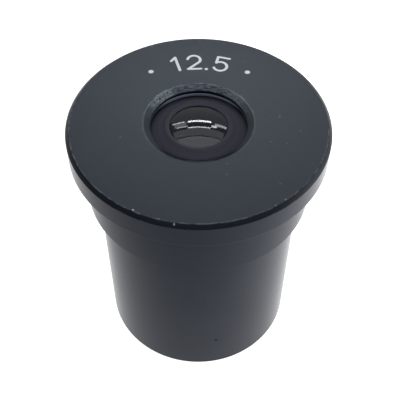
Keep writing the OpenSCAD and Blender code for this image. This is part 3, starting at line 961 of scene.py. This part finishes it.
def engraving_cutter(top):
    """The painted marks, made a little fatter and carried up through the top face."""
    node = frame["nodes"]["marking_paint"]
    cutter = bpy.data.objects.new("engraving", node.data.copy())
    bpy.context.scene.collection.objects.link(cutter)
    only(cutter)
    bpy.ops.object.mode_set(mode="EDIT")
    bpy.ops.mesh.select_all(action="SELECT")
    bpy.ops.mesh.remove_doubles(threshold=SAME)
    face = max(vertex.co.z for vertex in node.data.vertices)
    select_places(cutter, lambda at: abs(at.z - face) < SAME)
    bpy.ops.transform.translate(value=(0, 0, top - face + ENGRAVING_GAP * 4))
    bpy.ops.mesh.select_all(action="SELECT")
    bpy.ops.transform.shrink_fatten(value=ENGRAVING_GAP, use_even_offset=True)
    bpy.ops.object.mode_set(mode="OBJECT")
    return cutter


class EYEPIECE_OT_cell(bpy.types.Operator):
    """Turn the inner cell, whose nose surrounds the eye lens"""

    bl_idname = "eyepiece.cell"
    bl_label = "Inner cell"

    def execute(self, context):
        scene = context.scene
        cell, lens, rings = scene.eyepiece_cell, scene.eyepiece_lens, scene.eyepiece_rings
        top, z = HEAD_TOP, stack(context)
        flange = top - cell.flange_drop
        flange_foot = flange - cell.flange_height
        ledge, shoulder = z["flint_edge"] + rings.fit, z["middle"] + cell.shoulder_air
        dome = lens.eye_dome + lens.seat_gap
        seat = arc(
            dome, z["eye"] - lens.eye_dome, cell.eye_bore_radius, cell.window_radius, CELL_SEAT_STEPS, 1)
        piece = turned("inner_cell", [
            (cell.window_radius + cell.countersink, top - cell.rim_drop),
            (cell.knee_radius, top - cell.knee_drop), (cell.nose_radius, top - cell.nose_drop),
            (cell.nose_radius, flange), (cell.flange_radius, flange), (cell.flange_radius, flange_foot),
            (cell.barrel_radius, flange_foot), (cell.barrel_radius, cell.barrel_foot),
            (cell.ring_bore_radius, cell.barrel_foot), (cell.ring_bore_radius, ledge),
            (cell.lens_bore_radius, ledge), (cell.lens_bore_radius, shoulder),
            (cell.eye_bore_radius, shoulder), *seat])
        break_edges(piece)
        complete(piece, "head", "barrel_black", "lens_barrel")
        return {"FINISHED"}


def sag(radius, reach):
    """How far a dome has fallen at a distance from its axis."""
    return radius - math.sqrt(radius * radius - reach * reach)


def stack(context):
    """Heights at which the faces of the lens stack meet the axis, and of the flint's lower edge."""
    lens = context.scene.eyepiece_lens
    eye = HEAD_TOP - lens.eye_drop
    eye_base = eye - lens.eye_thickness
    middle = eye_base - lens.upper_space
    middle_base = middle - lens.middle_thickness
    crown = middle_base - lens.lower_space
    cement = crown - lens.crown_thickness
    flint = cement - lens.flint_thickness
    return {
        "eye": eye, "eye_base": eye_base, "middle": middle, "middle_base": middle_base, "crown": crown,
        "cement": cement, "flint": flint, "flint_edge": flint + sag(lens.flint_dome, lens.field_radius)}


class EYEPIECE_OT_lenses(bpy.types.Operator):
    """Grind the eye lens, the middle lens and the two halves of the doublet"""

    bl_idname = "eyepiece.lenses"
    bl_label = "Lenses"

    def execute(self, context):
        lens, z = context.scene.eyepiece_lens, stack(context)
        edge = lens.field_radius
        rim = z["cement"] + sag(lens.cement_dome, edge) - lens.flint_land
        hollow = lens.cement_dome + lens.cement
        hollow_centre = z["cement"] + lens.cement_dome
        hollow_reach = math.sqrt(hollow ** 2 - (hollow_centre - rim) ** 2)
        outlines = {
            "eye_lens_glass": ("eye_lens", "lens_glass", [
                (0, z["eye_base"]), (lens.eye_radius, z["eye_base"]),
                *arc(lens.eye_dome, z["eye"] - lens.eye_dome, lens.eye_radius, 0, EYE_DOME_STEPS, 1)]),
            "middle_lens_glass": ("middle_lens", "lens_glass", [
                (0, z["middle_base"]), (edge, z["middle_base"]),
                *arc(lens.middle_dome, z["middle"] - lens.middle_dome, edge, 0, MIDDLE_DOME_STEPS, 1)]),
            "crown_lens_glass": ("crown_lens", "lens_glass", [
                *arc(lens.cement_dome, hollow_centre, 0, edge, DOUBLET_DOME_STEPS, -1),
                *arc(lens.crown_dome, z["crown"] - lens.crown_dome, edge, 0, DOUBLET_DOME_STEPS, 1)]),
            "flint_lens_glass": ("flint_lens", "flint_glass", [
                *arc(lens.flint_dome, z["flint"] + lens.flint_dome, 0, edge, DOUBLET_DOME_STEPS, -1),
                (edge, rim), *arc(hollow, hollow_centre, hollow_reach, 0, DOUBLET_DOME_STEPS, -1)]),
        }
        for name, (node, slot, outline) in outlines.items():
            piece = turned(name, outline, steps=LENS_STEPS)
            break_edges(piece, lens.ground_edge, segments=1, least_angle=40)
            complete(piece, "lens_stack", slot, node)
            second_finish(piece, "ground_edge_finish", lambda face: abs(face.normal.z) < LENS_EDGE_NORMAL)
            if name == "eye_lens_glass":
                second_finish(piece, "outer_face_finish", lambda face: face.normal.z > LENS_EDGE_NORMAL)
        return {"FINISHED"}


class EYEPIECE_OT_spacers(bpy.types.Operator):
    """Turn the two spacers between the lenses"""

    bl_idname = "eyepiece.spacers"
    bl_label = "Spacers"

    def execute(self, context):
        lens, z = context.scene.eyepiece_lens, stack(context)
        for name, node, radius, dome, low, high in (
            ("eye_lens_spacer", "upper_spacer", lens.eye_radius, lens.middle_dome, "middle", "eye_base"),
            ("field_lens_spacer", "lower_spacer", lens.field_radius, lens.crown_dome, "crown", "middle_base"),
        ):
            inner, seat = radius - lens.spacer_wall, dome + lens.seat_gap
            piece = turned(name, [
                (inner, z[high]), *arc(seat, z[low] - dome, inner, radius, RING_SEAT_STEPS, 1),
                (radius, z[high])])
            break_edges(piece)
            complete(piece, "lens_stack", "ring_black", node)
        return {"FINISHED"}


class EYEPIECE_OT_rings(bpy.types.Operator):
    """Turn and slot the ring that locks the cell and the ring that holds the lenses"""

    bl_idname = "eyepiece.rings"
    bl_label = "Locking rings"

    def execute(self, context):
        scene = context.scene
        cell, lens = scene.eyepiece_cell, scene.eyepiece_lens
        head, rings = scene.eyepiece_head, scene.eyepiece_rings
        z = stack(context)
        high = HEAD_TOP - cell.flange_drop - cell.flange_height
        outer, inner = head.bore_radius - rings.fit, cell.barrel_radius + rings.lock_clearance
        low = high - rings.lock_height
        piece = turned("cell_lock_ring", [(inner, low), (outer, low), (outer, high), (inner, high)])
        break_edges(piece)
        spanner_slots(piece, outer, low, rings)
        complete(piece, "head", "ring_black", "barrel_lock_ring")

        outer, inner = cell.ring_bore_radius - rings.fit, lens.field_radius - lens.spacer_wall
        high, seat = z["flint_edge"], lens.flint_dome + lens.seat_gap
        centre = z["flint"] + lens.flint_dome
        reach = math.sqrt(seat ** 2 - (centre - high) ** 2)
        low = high - rings.retainer_height
        piece = turned("lens_retaining_ring", [
            (inner, low), (outer, low), (outer, high), *arc(seat, centre, reach, inner, RING_SEAT_STEPS, -1)])
        break_edges(piece)
        spanner_slots(piece, outer, low, rings)
        complete(piece, "head", "ring_black", "lens_retainer")
        return {"FINISHED"}


class EYEPIECE_OT_field_stop(bpy.types.Operator):
    """Turn the field stop, its threaded cell and the slotted ring that holds it"""

    bl_idname = "eyepiece.field_stop"
    bl_label = "Field stop"

    def execute(self, context):
        scene = context.scene
        stop, thread, rings = scene.eyepiece_stop, scene.eyepiece_thread, scene.eyepiece_rings
        piece = turned("stop_cell", [
            (stop.seat_radius, stop.cell_foot), (stop.cell_radius, stop.cell_foot),
            (stop.cell_radius, stop.cell_top), (stop.ledge_radius, stop.cell_top),
            (stop.ledge_radius, stop.seat), (stop.seat_radius, stop.seat)])
        break_edges(piece)
        spanner_slots(piece, stop.cell_radius, stop.cell_foot, rings)
        crest = stop.cell_radius + thread.ridge_height
        ridge = thread_ridge(stop.cell_radius, crest, stop.thread_start, stop.thread_turns, thread)
        combine(piece, ridge, "UNION")
        complete(piece, "stop_ring", "carrier_black", "stop_carrier")

        outer = stop.seat_radius - rings.fit
        high = stop.seat - stop.gap
        low = high - stop.thickness
        piece = turned("stop_disc", [
            (stop.hole_radius, low + stop.thickness / 3), (stop.hole_radius + stop.thickness / 2, low),
            (outer, low), (outer, high), (stop.hole_radius, high)])
        break_edges(piece, BROKEN_EDGE / 2)
        complete(piece, "diaphragm", "stop_black", "field_stop")

        high = low - stop.gap
        low = high - stop.ring_height
        piece = turned("stop_retaining_ring", [
            (stop.ledge_radius, low), (outer, low), (outer, high), (stop.ledge_radius, high)])
        break_edges(piece)
        spanner_slots(piece, outer, low, rings)
        complete(piece, "stop_ring", "ring_black", "stop_retainer")
        return {"FINISHED"}


class EYEPIECE_PT_panel(bpy.types.Panel):
    """The eyepiece's pieces, sizes and colours"""

    bl_idname = "EYEPIECE_PT_panel"
    bl_label = "Eyepiece"
    bl_space_type = "VIEW_3D"
    bl_region_type = "UI"
    bl_category = "Eyepiece"

    def draw(self, context):
        for operator in OPERATORS:
            self.layout.operator(operator.bl_idname)
        for name, group in GROUPS.items():
            box = self.layout.box()
            box.label(text=group.__doc__)
            for field in group.__annotations__:
                box.prop(getattr(context.scene, name), field)


GROUPS = {
    "eyepiece_head": HeadSizes, "eyepiece_tube": TubeSizes, "eyepiece_thread": ThreadSizes,
    "eyepiece_cell": CellSizes, "eyepiece_lens": LensSizes, "eyepiece_rings": RingSizes,
    "eyepiece_stop": StopSizes, "eyepiece_colours": EyepieceColours, "eyepiece_stage": EyepieceStage}
OPERATORS = (
    EYEPIECE_OT_stage, EYEPIECE_OT_finishes, EYEPIECE_OT_tube, EYEPIECE_OT_head, EYEPIECE_OT_cell,
    EYEPIECE_OT_lenses, EYEPIECE_OT_spacers, EYEPIECE_OT_rings, EYEPIECE_OT_field_stop)


def register():
    for kind in (*GROUPS.values(), *OPERATORS, EYEPIECE_PT_panel):
        bpy.utils.register_class(kind)
    for name, group in GROUPS.items():
        setattr(bpy.types.Scene, name, bpy.props.PointerProperty(type=group))


def unregister():
    for name in GROUPS:
        delattr(bpy.types.Scene, name)
    for kind in (EYEPIECE_PT_panel, *reversed(OPERATORS), *reversed(GROUPS.values())):
        bpy.utils.unregister_class(kind)


def main():
    register()
    bpy.ops.eyepiece.stage()
    bpy.ops.eyepiece.finishes()
    bpy.ops.eyepiece.tube()
    bpy.ops.eyepiece.head()
    bpy.ops.eyepiece.cell()
    bpy.ops.eyepiece.lenses()
    bpy.ops.eyepiece.spacers()
    bpy.ops.eyepiece.rings()
    bpy.ops.eyepiece.field_stop()


if __name__ == "__main__":
    main()
